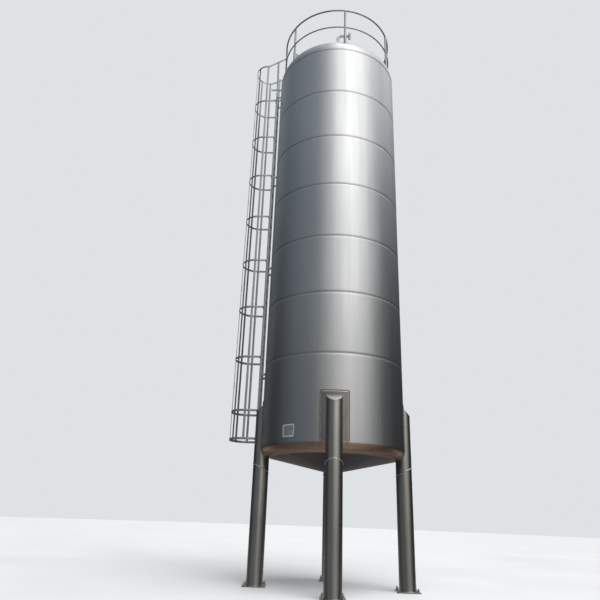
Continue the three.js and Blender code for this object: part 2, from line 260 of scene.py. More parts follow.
class Nodes(Graph):
    """Material, with calls for what the steels have in common."""

    def __init__(self, name):
        self.material = bpy.data.materials.new(name)
        super().__init__(self.material)
        self.place = self.new("ShaderNodeTexCoord").outputs["Object"]

    def noise(self, scale, detail, rough=0.55, shift=(0, 0, 0)):
        """Noise with one scale, or with a scale for each axis."""
        scale = scale if isinstance(scale, tuple) else (scale,) * 3
        place = self.new("ShaderNodeMapping", Scale=scale, Location=shift, Vector=self.place).outputs[0]
        node = self.new("ShaderNodeTexNoise", Scale=1, Detail=detail, Roughness=rough, Vector=place)
        return node.outputs["Fac"]

    def cells(self, scale):
        return self.new("ShaderNodeTexVoronoi", Scale=scale, Vector=self.place).outputs["Color"]

    def attribute(self, name):
        node = self.new("ShaderNodeAttribute")
        node.attribute_name = name
        return node.outputs["Fac"]

    def spread(self, value, start, stop, low=0.0, high=1.0):
        """Number that goes from low to high while a value goes from start to stop."""
        ends = {"From_Min": start, "From_Max": stop, "To_Min": low, "To_Max": high}
        return self.new("ShaderNodeMapRange", Value=value, **ends).outputs[0]

    def mix(self, share, first, second):
        node = self.new("ShaderNodeMix")
        node.data_type = "RGBA"
        for value, index in ((share, 0), (first, 6), (second, 7)):
            self.put(value, node.inputs[index])
        return node.outputs[2]

    def between(self, noise, low, high, start=0.3, stop=0.7):
        """Colour or number between two, as a noise says."""
        if isinstance(low, tuple):
            return self.mix(self.spread(noise, start, stop), low, high)
        return self.spread(noise, start, stop, low, high)

    def stained(self, colour, share, strength, stain_and_reflection):
        return self.mix(self.times(share, strength), colour, stain_and_reflection)

    def raised(self, number, share, strength):
        return self.math("ADD", number, self.times(share, strength))

    def bump(self, height, distance, **below):
        return self.new("ShaderNodeBump", Height=height, Distance=distance, Strength=1, **below).outputs[0]

    def finish(self, colour, roughness, normal, metallic=1.0):
        look = {"Base_Color": colour, "Roughness": roughness, "Metallic": metallic, "Normal": normal}
        shader = self.new("ShaderNodeBsdfPrincipled", **look)
        self.new("ShaderNodeOutputMaterial", Surface=shader.outputs[0])
        return self.material


def sheet_steel():
    """Rolled stainless sheet: fine upright streaks, dirt runs, ground bands along the welds, and a painted
    brown reflection of the ground at its bottom edge.
    """
    n = Nodes("sheet_steel")
    clouds = n.noise((0.9, 0.9, 0.35), 4)
    streaks = n.noise((9, 9, 0.25), 5, 0.6)
    fine = n.noise((60, 60, 1.2), 3)
    runs = n.spread(n.noise((14, 14, 0.18), 6, 0.62, (3, 1, 2)), 0.55, 0.78)
    weld = n.attribute("weld")
    colour = n.between(clouds, (0.60, 0.62, 0.64), (0.70, 0.71, 0.715))
    colour = n.stained(colour, n.spread(streaks, 0.35, 0.75), 0.35, (0.56, 0.57, 0.575))
    colour = n.stained(colour, runs, 0.3, (0.46, 0.45, 0.43))
    colour = n.stained(colour, weld, 0.45, (0.45, 0.45, 0.445))
    # Painted reflection: the sheet turns brown at its bottom edge, where the brown ground is reflected
    colour = n.mix(n.attribute("grime"), colour, (0.33, 0.235, 0.175))
    rough = n.spread(streaks, 0.3, 0.75, 0.27, 0.37)
    rough = n.math("ADD", rough, n.between(fine, -0.02, 0.03))
    rough = n.raised(n.raised(rough, runs, 0.08), weld, 0.05)
    wave = n.bump(n.noise((1.6, 1.6, 0.5), 2, shift=(5, 2, 1)), 0.006)
    return n.finish(colour, rough, n.bump(fine, 0.0005, Normal=wave))


def pipe_steel():
    """Polished stainless pipe with faint handling marks and water spots."""
    n = Nodes("pipe_steel")
    marks = n.noise((34, 34, 1.6), 3, shift=(2, 7, 1))
    spots = n.spread(n.noise((22, 22, 18), 4, 0.7, (8, 1, 3)), 0.58, 0.72)
    colour = n.between(n.noise((3, 3, 1.2), 4), (0.50, 0.487, 0.46), (0.60, 0.582, 0.545))
    colour = n.stained(colour, spots, 0.25, (0.38, 0.355, 0.32))
    rough = n.raised(n.between(marks, 0.2, 0.29), spots, 0.05)
    return n.finish(colour, rough, n.bump(marks, 0.00015))


def plate_steel(name, low, high):
    """Hot-rolled stainless plate: duller and browner than the shell, in shades between two tints."""
    n = Nodes(name)
    brushed = n.noise((50, 50, 2), 3)
    colour = n.between(n.noise((4, 4, 2), 5, 0.6), low, high)
    return n.finish(colour, n.between(brushed, 0.33, 0.43), n.bump(brushed, 0.0004))


def painted_shade_under_steel():
    """Mill-finish steel of the bottom: dull, its colour near black as painted shade, with a painted brown
    reflection of the ground along the rounded edge and dark brown drips.
    """
    n = Nodes("painted_shade_under_steel")
    clouds = n.noise(1.7, 5, 0.6)
    drips = n.spread(n.noise((10, 10, 0.8), 5, 0.65, (2, 5, 1)), 0.5, 0.75)
    grime = n.attribute("grime")
    # Painted shade: the base colour is near black, as the underside lies in deep shade
    colour = n.between(clouds, (0.06, 0.058, 0.055), (0.10, 0.097, 0.092))
    # Painted reflection of the brown ground along the rounded edge
    colour = n.mix(grime, colour, (0.53, 0.38, 0.295))
    colour = n.stained(colour, drips, 0.35, (0.17, 0.12, 0.09))
    rough = n.raised(n.between(clouds, 0.40, 0.52), grime, -0.12)
    return n.finish(colour, rough, n.bump(n.noise(2.3, 2, shift=(1, 1, 4)), 0.006))


def satin_steel():
    """Blasted stainless pipe and flanges: pale, with broad highlights."""
    n = Nodes("satin_steel")
    grain = n.noise(120, 2, shift=(3, 1, 5))
    colour = n.between(n.noise(8, 4), (0.70, 0.705, 0.70), (0.80, 0.80, 0.79))
    return n.finish(colour, n.between(grain, 0.44, 0.56), n.bump(grain, 0.0005), 0.35)


def weld_steel(name, low, high):
    """Weld bead: rippled, in shades between two tints."""
    n = Nodes(name)
    ripple = n.noise(140, 2)
    colour = n.between(n.noise(11, 3, shift=(4, 4, 2)), low, high, 0.35, 0.65)
    return n.finish(colour, n.between(ripple, 0.36, 0.52), n.bump(ripple, 0.002))


def rail_steel():
    """Dull grey steel of the ladder, cage and guardrail: clouded, with darker stains and a little rust."""
    n = Nodes("rail_steel")
    clouds = n.noise((7, 7, 3), 4)
    stains = n.spread(n.noise((9, 9, 2.2), 5, 0.65, (1, 6, 4)), 0.56, 0.74)
    rust = n.spread(n.noise((16, 16, 9), 5, 0.7, (6, 3, 8)), 0.66, 0.76)
    colour = n.between(clouds, (0.36, 0.37, 0.375), (0.50, 0.51, 0.51))
    colour = n.stained(colour, n.cells(70), 0.25, (0.58, 0.59, 0.59))
    colour = n.stained(colour, stains, 0.45, (0.20, 0.195, 0.185))
    colour = n.stained(colour, rust, 0.35, (0.20, 0.11, 0.06))
    rough = n.raised(n.between(clouds, 0.36, 0.52), stains, 0.12)
    return n.finish(colour, rough, n.bump(n.noise(55, 3), 0.0008), 0.9)


def bolt_steel():
    """Zinc-plated nuts and bolt heads."""
    n = Nodes("bolt_steel")
    clouds = n.noise(25, 3)
    colour = n.between(clouds, (0.40, 0.40, 0.39), (0.58, 0.58, 0.56))
    return n.finish(colour, n.between(clouds, 0.3, 0.48), n.bump(n.noise(200, 2), 0.0006))


def plate_metal(name, low, high):
    """Bare plate: satin lacquer, slightly weathered, in shades between two tints."""
    n = Nodes(name)
    clouds = n.noise(9, 4)
    wash = n.spread(n.noise((30, 30, 5), 4, 0.65, (2, 2, 2)), 0.5, 0.75)
    colour = n.stained(n.between(clouds, low, high), wash, 0.4, (0.36, 0.37, 0.365))
    return n.finish(colour, n.between(clouds, 0.4, 0.55), n.bump(n.noise(90, 2), 0.0006), 0.35)


LOOKS = {
    "sheet": (sheet_steel(), "shell_steel"),
    # Pad plate: duller and browner than the shell, and darker still as painted shade under the tank
    "pad": (plate_steel("pad_steel_and_painted_shade", (0.25, 0.238, 0.225), (0.33, 0.318, 0.30)), "shell_steel"),
    "cap": (plate_steel("cap_steel", (0.42, 0.41, 0.39), (0.54, 0.53, 0.51)), "pipe_steel"),
    # Dark band on the shell around the leg pads, along their welds
    "tint": (weld_steel("dark_band", (0.20, 0.18, 0.165), (0.30, 0.27, 0.24)), "shell_steel"),
    "under": (painted_shade_under_steel(), "shell_steel"),
    "pipe": (pipe_steel(), "pipe_steel"),
    "satin": (satin_steel(), "pipe_steel"),
    "weld": (weld_steel("weld_steel", (0.36, 0.36, 0.365), (0.50, 0.47, 0.42)), "pipe_steel"),
    # Painted glint: the leg joint ring and pad border beads get a bright colour that stands in for their
    # highlights
    "joint": (weld_steel("painted_glint_weld", (0.66, 0.66, 0.65), (0.80, 0.78, 0.74)), "pipe_steel"),
    "rail": (rail_steel(), "rail_steel"),
    "bolt": (bolt_steel(), "rail_steel"),
    "plate": (plate_metal("plate_face", (0.15, 0.16, 0.157), (0.21, 0.222, 0.218)), "plate_metal"),
    "trim": (plate_metal("plate_edge", (0.42, 0.44, 0.43), (0.52, 0.54, 0.53)), "plate_metal"),
}


# Places


def spun(azimuth):
    return Matrix.Rotation(math.radians(azimuth), 4, "Z")


def turned(azimuth):
    """Matrix that takes what is drawn at the front, around Z, to an azimuth of the tank."""
    return Matrix.Translation((AXIS_X, 0, 0)) @ spun(azimuth)


def facing(origin, direction):
    """Matrix that stands +Z of what is drawn along a direction at an origin."""
    return Matrix.Translation(origin) @ Vector(direction).to_track_quat("Z", "Y").to_matrix().to_4x4()


def outward(azimuth):
    angle = math.radians(azimuth)
    return Vector((math.sin(angle), -math.cos(angle), 0))


front = turned(0)


# Shapes: each is a list of points and a list of faces


def grid(rows, across_closed=False, along_closed=False):
    """Quads between rows of equally many points."""
    width = len(rows[0])
    points = [p for row in rows for p in row]
    faces = []
    for i in range(len(rows) if along_closed else len(rows) - 1):
        for j in range(width if across_closed else width - 1):
            here, beside = i * width + j, i * width + (j + 1) % width
            below = ((i + 1) % len(rows)) * width
            faces.append((here, beside, below + (j + 1) % width, below + j))
    return points, faces


def capped(rows, closed=False):
    """Grid of closed rings along a path. Both ends are filled, unless the path is closed."""
    points, faces = grid(rows, across_closed=True, along_closed=closed)
    if not closed:
        width = len(rows[0])
        faces.append(tuple(range(width)))
        faces.append(tuple((len(rows) - 1) * width + j for j in reversed(range(width))))
    return points, faces


def even(start, stop, steps):
    """Evenly spaced numbers, both ends included."""
    return [start + (stop - start) * k / steps for k in range(steps + 1)]


def arc(centre, radius, start, stop, steps):
    x, y = centre
    return [(x + radius * math.cos(angle), y + radius * math.sin(angle)) for angle in even(start, stop, steps)]


def circle(radius, sides):
    return arc((0, 0), radius, 0, 2 * math.pi, sides)[:-1]


def rounded(width, depth, radius, steps=2):
    """Outline of a rectangle with rounded corners, as (x, y) pairs counterclockwise."""
    outline = []
    for quarter, (side, rise) in enumerate(((1, 1), (-1, 1), (-1, -1), (1, -1))):
        centre = (side * (width / 2 - radius), rise * (depth / 2 - radius))
        outline += arc(centre, radius, quarter * math.pi / 2, (quarter + 1) * math.pi / 2, steps)
    return outline


def stack(levels, sides):
    """Round body standing along Z, through (radius, height) pairs."""
    return capped([[(x, y, z) for x, y in circle(r, sides)] for r, z in levels])


def around_z(angle, r, z):
    """Point at an angle that is counted as azimuths are, but in radians."""
    return r * math.sin(angle), -r * math.cos(angle), z


AROUND = 256
ANGLES = even(0, 2 * math.pi, AROUND)[:-1]


def revolved(profiles):
    """Body around Z, through a closed profile of (radius, height) pairs for each angle."""
    rows = [[around_z(angle, r, z) for r, z in profile] for angle, profile in zip(ANGLES, profiles)]
    return grid(rows, across_closed=True, along_closed=True)


def lathe(profile):
    return revolved([profile] * AROUND)


def eased(corners, reach):
    """Path through straight lines, with its corners rounded off over a distance on both sides."""
    corners = [Vector(corner) for corner in corners]
    path = [corners[0]]
    for before, corner, after in zip(corners, corners[1:], corners[2:]):
        start = corner + (before - corner).normalized() * reach
        stop = corner + (after - corner).normalized() * reach
        path += [start * (1 - t) ** 2 + corner * (2 * t * (1 - t)) + stop * t ** 2 for t in even(0, 1, 4)]
    return path + [corners[-1]]


def sweep(path, section, up=(0, 0, 1), closed=False):
    """Section of (sideways, upwards) pairs along a path, mitred at its bends."""
    rows = []
    count = len(path)
    path = [Vector(p) for p in path]
    for i, point in enumerate(path):
        before = path[(i - 1) % count] if closed or i > 0 else point
        after = path[(i + 1) % count] if closed or i < count - 1 else point
        along = (after - before).normalized()
        side = along.cross(Vector(up)).normalized()
        rise = side.cross(along).normalized()
        stretch = 1.0
        if (closed or 0 < i < count - 1) and (point - before).length > 1e-9:
            stretch = 1 / max(0.5, along.dot((point - before).normalized()))
        rows.append([point + side * (s * stretch) + rise * u for s, u in section])
    return capped(rows, closed)


def bead_tube(path, radius, sides=8, closed=False, up=(0, 0, 1)):
    """Weld bead: a round bar whose thickness varies a little along it."""
    points, faces = sweep(path, circle(1.0, sides), up, closed)
    shaped = []
    for i, centre in enumerate(path):
        r = radius * rng.uniform(0.88, 1.1)
        centre = Vector(centre)
        shaped += [centre + (Vector(p) - centre) * r for p in points[i * sides:(i + 1) * sides]]
    return shaped, faces


def strip(size, centre, bevel, along=2):
    """Straight bar along one axis, its long edges rounded."""
    s, u = (along + 1) % 3, (along + 2) % 3
    rows = []
    for end in (-0.5, 0.5):
        ring = []
        for x, y in rounded(size[s], size[u], bevel):
            point = list(centre)
            point[s] += x
            point[u] += y
            point[along] += end * size[along]
            ring.append(point)
        rows.append(ring)
    return capped(rows)


def disc(radius, height, sides, edge=0.0):
    """Round plate standing on z = 0 with an optional chamfer."""
    levels = [(radius, 0), (radius, height - edge)]
    if edge:
        levels.append((radius - edge, height))
    return stack(levels, sides)


def hexagon(across, height):
    """Nut or bolt head standing on z = 0, its upper corners chamfered."""
    r = across / math.sqrt(3)
    return stack([(r, 0), (r, height * 0.88), (r * 0.9, height)], 6)


# Pieces


def joined(mesh):
    """Edit mesh with merged points, no loose edges, and faces that look outward."""
    bm = bmesh.new()
    bm.from_mesh(mesh)
    bmesh.ops.remove_doubles(bm, verts=bm.verts, dist=1e-6)
    bmesh.ops.delete(bm, geom=[edge for edge in bm.edges if edge.is_wire], context="EDGES")
    bmesh.ops.recalc_face_normals(bm, faces=bm.faces)
    return bm


class Form:
    """Shapes that become one piece, with marks: values at the points, which a material reads."""

    def __init__(self, *shapes, base=Matrix(), **marks):
        self.points, self.faces, self.marks, self.base = [], [], {}, base
        for shape in shapes:
            self.add(shape, **marks)

    def add(self, shape, place=Matrix(), **marks):
        points, faces = shape
        first = len(self.points)
        matrix = self.base @ place
        self.points += [matrix @ Vector(p) for p in points]
        self.faces += [[first + i for i in face] for face in faces]
        for name, values in marks.items():
            row = self.marks.setdefault(name, {})
            row.update({first + i: value for i, value in enumerate(values)})

    def bolt(self, place, across, stud=0.0):
        """Washer, nut and, with a stud, the threaded end above it."""
        washer_t, nut_t = across * 0.1, across * 0.8
        self.add(disc(across * 0.95, washer_t, 16), place)
        lift = place @ Matrix.Translation((0, 0, washer_t))
        self.add(hexagon(across, nut_t), lift @ spun(rng.uniform(0, 60)))
        if stud:
            self.add(disc(across * 0.31, nut_t + stud, 12, across * 0.06), lift)

    def piece(self, name, look, nodes=(), sharp=35):
        """Object with outward faces, edges that are sharp beyond an angle, material and body."""
        mesh = bpy.data.meshes.new(name)
        mesh.from_pydata(self.points, [], self.faces)
        for mark, row in self.marks.items():
            layer = mesh.attributes.new(mark, "FLOAT", "POINT")
            layer.data.foreach_set("value", [row.get(i, 0.0) for i in range(len(self.points))])
        bm = joined(mesh)
        limit = math.radians(sharp)
        for face in bm.faces:
            face.smooth = True
        for edge in bm.edges:
            edge.smooth = len(edge.link_faces) == 2 and edge.calc_face_angle(0) < limit
        bm.to_mesh(mesh)
        bm.free()
        material, slot = LOOKS[look]
        mesh.materials.append(material)
        piece = in_scene(name, mesh)
        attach(piece, "root")
        if nodes:
            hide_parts(*nodes)


# Shell courses: smooth sheet, drawn in a little at the girth welds, with a faint waviness of its own

SPANS = list(zip([SHELL_BOTTOM] + SEAMS, SEAMS))
END_RINGS = (0, 0.004, 0.008, 0.013, 0.018, 0.024, 0.031, 0.04, 0.052, 0.07, 0.1)
MIDDLE_RINGS = 10
# Height and strength of the painted brown reflection of the ground at the shell's bottom edge
BROWN_REFLECTION_HEIGHT = 0.025
BROWN_REFLECTION_SHARE = 0.25
BEAD = (
    (-0.006, -0.0012), (-0.0045, 0.0008), (-0.0015, 0.0018),
    (0.0015, 0.0018), (0.0045, 0.0008), (0.006, -0.0012),
)


def near_seams(z, width):
    """Number that is 1 at a girth weld and fades over a width."""
    return max(math.exp(-((z - seam) / width) ** 2 / 2) for seam in SEAMS)


def sheet_radius(z):
    return SHEET_R - DIP_DEPTH * near_seams(z, DIP_WIDTH)


def course_waves():
    """Waves around a course, as (count, depth, phase, lean)."""
    waves = []
    for count in (3, 5, 8, 13, 21):
        depth = 0.0006 if count < 10 else 0.0003
        waves.append((count, depth * rng.uniform(0.5, 1.0), rng.uniform(0, 6.28), rng.uniform(-0.8, 0.8)))
    return waves


def course_form(bottom, top):
    waves = course_waves()
    end = END_RINGS[-1]
    heights = [bottom + e for e in END_RINGS]
    heights += even(bottom + end, top - end, MIDDLE_RINGS)[1:-1]
    heights += [top - e for e in reversed(END_RINGS)]
    rows, weld, grime = [], [], []
    for z in heights:
        rise = z - bottom
        calm = math.sin(math.pi * (rise / (top - bottom))) ** 0.5
        r = sheet_radius(z)
        row = []
        for angle in ANGLES:
            wave = sum(depth * math.cos(n * angle + phase + lean * rise) for n, depth, phase, lean in waves)
            row.append(around_z(angle, r + wave * calm, z))
        rows.append(row)
        weld += [near_seams(z, WELD_MARK_WIDTH)] * AROUND
        # Mask of the painted brown ground reflection, strongest at the shell's bottom edge
        grime += [math.exp((SHELL_BOTTOM - z) / BROWN_REFLECTION_HEIGHT) * BROWN_REFLECTION_SHARE] * AROUND
    for z in (top, bottom):
        rows.append([around_z(angle, SHEET_R - DIP_DEPTH - WALL, z) for angle in ANGLES])
    return Form(grid(rows, across_closed=True, along_closed=True), base=front, weld=weld, grime=grime)


def girth_bead(r, z):
    ripples = [rng.uniform(-0.0003, 0.0003) for angle in ANGLES]
    return revolved([[(r + u + ripple, z + s) for s, u in BEAD] for ripple in ripples])


for number, (bottom, top) in enumerate(SPANS, 1):
    course = course_form(bottom + COURSE_GAP, top - COURSE_GAP)
    course.piece(f"course_{number}_sheet", "sheet", [f"shell_course_{number}"])

welds = Form(*[girth_bead(SHEET_R - DIP_DEPTH, seam) for seam in SEAMS], base=front)
for i, (bottom, top) in enumerate(SPANS):
    path = [(0, -SHEET_R, z) for z in even(bottom + 0.02, top - 0.02, 24)]
    welds.add(sweep(path, [(s, u * 0.8) for s, u in BEAD], (0, -1, 0)), spun(152 if i % 2 else 208))
welds.piece("shell_welds", "weld")


# Dished roof and conical bottom

ROOF_TANGENT = SEAMS[-1] + ROOF_SKIRT
KNUCKLE_CENTRE = SHEET_R - ROOF_KNUCKLE_R
RIM_ANGLE = math.acos(KNUCKLE_CENTRE / (ROOF_CROWN_R - ROOF_KNUCKLE_R))
CROWN_CENTRE_Z = ROOF_TANGENT - math.sqrt((ROOF_CROWN_R - ROOF_KNUCKLE_R) ** 2 - KNUCKLE_CENTRE ** 2)
KNUCKLE_STEPS = 14
CROWN_STEPS = 20
BOTTOM_STEPS = 12
CONE_SHARES = (0.98, 0.92, 0.75, 0.5, 0.25, 0)


def skirt():
    """Short upright part under the roof's rounded edge, drawn in at the seam as the courses are."""
    heights = [SEAMS[-1] + h for h in (COURSE_GAP, *END_RINGS[1:8])]
    return [(sheet_radius(z), z) for z in heights]


def knuckle(offset):
    return arc((KNUCKLE_CENTRE, ROOF_TANGENT), ROOF_KNUCKLE_R + offset, 0, RIM_ANGLE, KNUCKLE_STEPS)


def crown(offset):
    return arc((0, CROWN_CENTRE_Z), ROOF_CROWN_R + offset, RIM_ANGLE, math.pi / 2, CROWN_STEPS)


def roof_height(r):
    """Height of the roof's outer face at a distance from the axis."""
    if r > ROOF_CROWN_R * math.cos(RIM_ANGLE):
        return ROOF_TANGENT + math.sqrt(ROOF_KNUCKLE_R ** 2 - (r - KNUCKLE_CENTRE) ** 2)
    return CROWN_CENTRE_Z + math.sqrt(ROOF_CROWN_R ** 2 - r ** 2)


def bottom_outline(offset):
    """Rounded edge and cone, from the shell in to the axis."""
    centre = (SHEET_R - BOTTOM_KNUCKLE_R, SHELL_BOTTOM)
    points = arc(centre, BOTTOM_KNUCKLE_R + offset, 0, BOTTOM_CONE - math.pi / 2, BOTTOM_STEPS)
    rim, height = points[-1]
    return points + [(rim * share, height - rim * (1 - share) * math.tan(BOTTOM_CONE)) for share in CONE_SHARES]


def head(name, look, node, outer, inner, **marks):
    """Piece of a head's sheet, with marks along its outer outline."""
    count = len(outer) + len(inner)
    marks = {mark: (values + [0.0] * (count - len(values))) * AROUND for mark, values in marks.items()}
    Form(lathe(outer + inner[::-1]), base=front, **marks).piece(name, look, [node])


outer = skirt() + knuckle(0)
inner = [(r - WALL, z) for r, z in skirt()] + knuckle(-WALL)
weld = [near_seams(z, WELD_MARK_WIDTH) for r, z in outer]
weld[-2:] = 0.25, 0.7
head("roof_ring_sheet", "sheet", "roof_knuckle_ring", outer, inner, weld=weld)
head("roof_crown_sheet", "sheet", "roof_crown", crown(0), crown(-WALL), weld=[0.7, 0.2])
# Mask of the painted brown ground reflection: full on the rounded edge, weaker at the start of the cone
stain_and_reflection = [1.0] * (BOTTOM_STEPS + 1) + [0.3]
head("bottom_sheet", "under", "bottom_head", bottom_outline(0), bottom_outline(-WALL), grime=stain_and_reflection)

cone = bottom_outline(0)[BOTTOM_STEPS:]
rim_r, rim_z = cone[0]
rim_bead = lathe([(rim_r + s, rim_z - u) for s, u in BEAD])
welds = Form(girth_bead(*knuckle(0)[-1]), rim_bead, base=front)
for aside in (-0.42, 0.42):
    reach = math.sqrt(rim_r ** 2 - aside ** 2) * 0.93
    path = [(aside, y, roof_height(math.hypot(aside, y)) - 0.0004) for y in even(-reach, reach, 40)]
    welds.add(sweep(path, BEAD), spun(30))
for azimuth in (45, 135, 225, 315):
    path = [(0, -r, z - 0.0002) for r, z in cone[:-1]]
    welds.add(sweep(path, [(s, -u) for s, u in BEAD]), spun(azimuth))
welds.piece("end_welds", "weld")


# Legs, cut to fit the vessel they are welded to

PAD_FACE_R = SHELL_R + PAD_T
CAP_SLOPE = (LEG_CAP_WALL_Z - LEG_CAP_FRONT_Z) / (LEG_CIRCLE_R + LEG_R - PAD_FACE_R)
LEG_CHAMFER = 0.002
LEG_CHAMFER_RISE = 0.0035
CAP_CHAMFER = 0.0015


def joint_height(r):
    """Height of the slanted joint between the upper and the lower leg, at a distance from the tank's axis."""
    return LEG_JOINT_FRONT_Z + (r - LEG_CIRCLE_R - LEG_R) * LEG_JOINT_SLOPE


def cap_height(r):
    return LEG_CAP_WALL_Z - (r - PAD_FACE_R) * CAP_SLOPE


def on_leg(angle, r, height, lift=0.0):
    """Point of the leg. Its height may be a function of the distance from the tank's axis."""
    out = LEG_CIRCLE_R + r * math.cos(angle)
    return r * math.sin(angle), -out, (height(out) if callable(height) else height) + lift


def leg_ring(r, height, lift=0.0, sides=96):
    return [on_leg(angle, r, height, lift) for angle in even(0, 2 * math.pi, sides)[:-1]]


def bare_object(shape):
    mesh = bpy.data.meshes.new("cut")
    mesh.from_pydata([Vector(p) for p in shape[0]], [], shape[1])
    bm = joined(mesh)
    bm.to_mesh(mesh)
    bm.free()
    return in_scene("cut", mesh)


def cut(shape, cutter_shape):
    """Shape of one closed shape less another."""
    body, cutter = bare_object(shape), bare_object(cutter_shape)
    modifier = body.modifiers.new("cut", "BOOLEAN")
    modifier.operation = "DIFFERENCE"
    modifier.solver = "EXACT"
    modifier.object = cutter
    bpy.context.view_layer.update()
    mesh = bpy.data.meshes.new_from_object(body.evaluated_get(bpy.context.evaluated_depsgraph_get()))
    bpy.data.objects.remove(body)
    bpy.data.objects.remove(cutter)
    return [tuple(v.co) for v in mesh.vertices], [tuple(p.vertices) for p in mesh.polygons]


def seat():
    """The vessel and a pad all round it, a hair larger: what a leg is cut to."""
    shell_gap, pad_gap, top = 0.0006, 0.0009, 4.2
    profile = bottom_outline(SHELL_R - SHEET_R + shell_gap)[:0:-1] + [(SHELL_R + shell_gap, SHELL_BOTTOM)]
    profile += [(r, PAD_BOTTOM - shell_gap) for r in (SHELL_R + shell_gap, PAD_FACE_R + pad_gap)]
    return lathe(profile + [(PAD_FACE_R + pad_gap, top), (0, top)])


upper_leg = cut(capped([
    leg_ring(LEG_R - LEG_CHAMFER, joint_height, GAP),
    leg_ring(LEG_R, joint_height, LEG_CHAMFER_RISE),
    leg_ring(LEG_R, cap_height, -CAP_T - 0.0004),
]), seat())
leg_cap = cut(capped([
    leg_ring(LEG_R - LEG_CHAMFER, cap_height, -CAP_T),
    leg_ring(LEG_R, cap_height, CAP_CHAMFER - CAP_T),
    leg_ring(LEG_R, cap_height, -CAP_CHAMFER),
    leg_ring(LEG_R - LEG_CHAMFER, cap_height),
]), seat())
lower_leg = capped([
    leg_ring(LEG_R, FOOT_T + GAP),
    leg_ring(LEG_R, joint_height, -LEG_CHAMFER_RISE),
    leg_ring(LEG_R - LEG_CHAMFER, joint_height),
])
foot = capped([
    [(x, y - LEG_CIRCLE_R, z) for x, y in rounded(FOOT_SIZE - inset, FOOT_SIZE - inset, 0.012, 3)]
    for z, inset in ((0, 0.003), (0.0015, 0), (FOOT_T - 0.0015, 0), (FOOT_T, 0.003))
])


def leg_welds():
    """Beads along the leg's sides, around its cap, along the cap's wall edge and at its foot."""
    crossing_y = (PAD_FACE_R ** 2 - LEG_R ** 2 + LEG_CIRCLE_R ** 2) / (2 * LEG_CIRCLE_R)
    crossing_x = math.sqrt(PAD_FACE_R ** 2 - crossing_y ** 2)
    for side in (-1, 1):
        path = [(side * crossing_x, -crossing_y, z) for z in even(PAD_BOTTOM, cap_height(crossing_y), 30)]
        yield bead_tube(path, LEG_BEAD, up=(1, 0, 0))
    half = math.asin(crossing_x / LEG_R)
    rim = [on_leg(angle, LEG_R - 0.002, cap_height, -0.001) for angle in even(-half, half, 36)]
    yield bead_tube(rim, THIN_BEAD)
    half = math.asin(crossing_x / PAD_FACE_R)
    heights = [(angle, cap_height(PAD_FACE_R * math.cos(angle))) for angle in even(-half, half, 36)]
    yield bead_tube([around_z(angle, PAD_FACE_R, z) for angle, z in heights], PIPE_BEAD)
    yield bead_tube(leg_ring(LEG_R + 0.002, FOOT_T, 0.002), PIPE_BEAD, closed=True)


def bend(azimuth, base_r, middle_z):
    """Function that bends an upright drawing of (x, outward, z) round the shell at an azimuth."""
    def bent(x, out, z):
        return front @ Vector(around_z(math.radians(azimuth) + x / base_r, base_r + out, middle_z + z))
    return bent


def dense(outline, pitch):
    """Points along a closed outline, no two of them much further apart than a pitch."""
    path = []
    for (x0, z0), (x1, z1) in zip(outline, outline[1:] + outline[:1]):
        steps = max(1, int(math.hypot(x1 - x0, z1 - z0) / pitch))
        path += list(zip(even(x0, x1, steps), even(z0, z1, steps)))[:-1]
    return path


def bent_plate(azimuth, half_deg, bottom, top, corner, base_r, thickness):
    """Plate with rounded corners bent round the shell, and the path along its outline."""
    half = math.radians(half_deg) * base_r
    outline = rounded(2 * half, top - bottom, corner, 6)
    bm = bmesh.new()
    bm.faces.new([bm.verts.new((x, 0, z)) for x, z in outline])
    for x in even(-half, half, int(half_deg / 0.7))[1:-1]:
        geometry = bm.verts[:] + bm.edges[:] + bm.faces[:]
        bmesh.ops.bisect_plane(bm, geom=geometry, plane_co=(x, 0, 0), plane_no=(1, 0, 0))
    for item in bmesh.ops.extrude_face_region(bm, geom=bm.faces[:])["geom"]:
        if isinstance(item, bmesh.types.BMVert):
            item.co.y = thickness
    bm.verts.index_update()
    bent = bend(azimuth, base_r, (bottom + top) / 2)
    points = [bent(*v.co) for v in bm.verts]
    faces = [tuple(v.index for v in f.verts) for f in bm.faces]
    bm.free()
    return (points, faces), [bent(x, 0.002, z) for x, z in dense(outline, 0.03)]


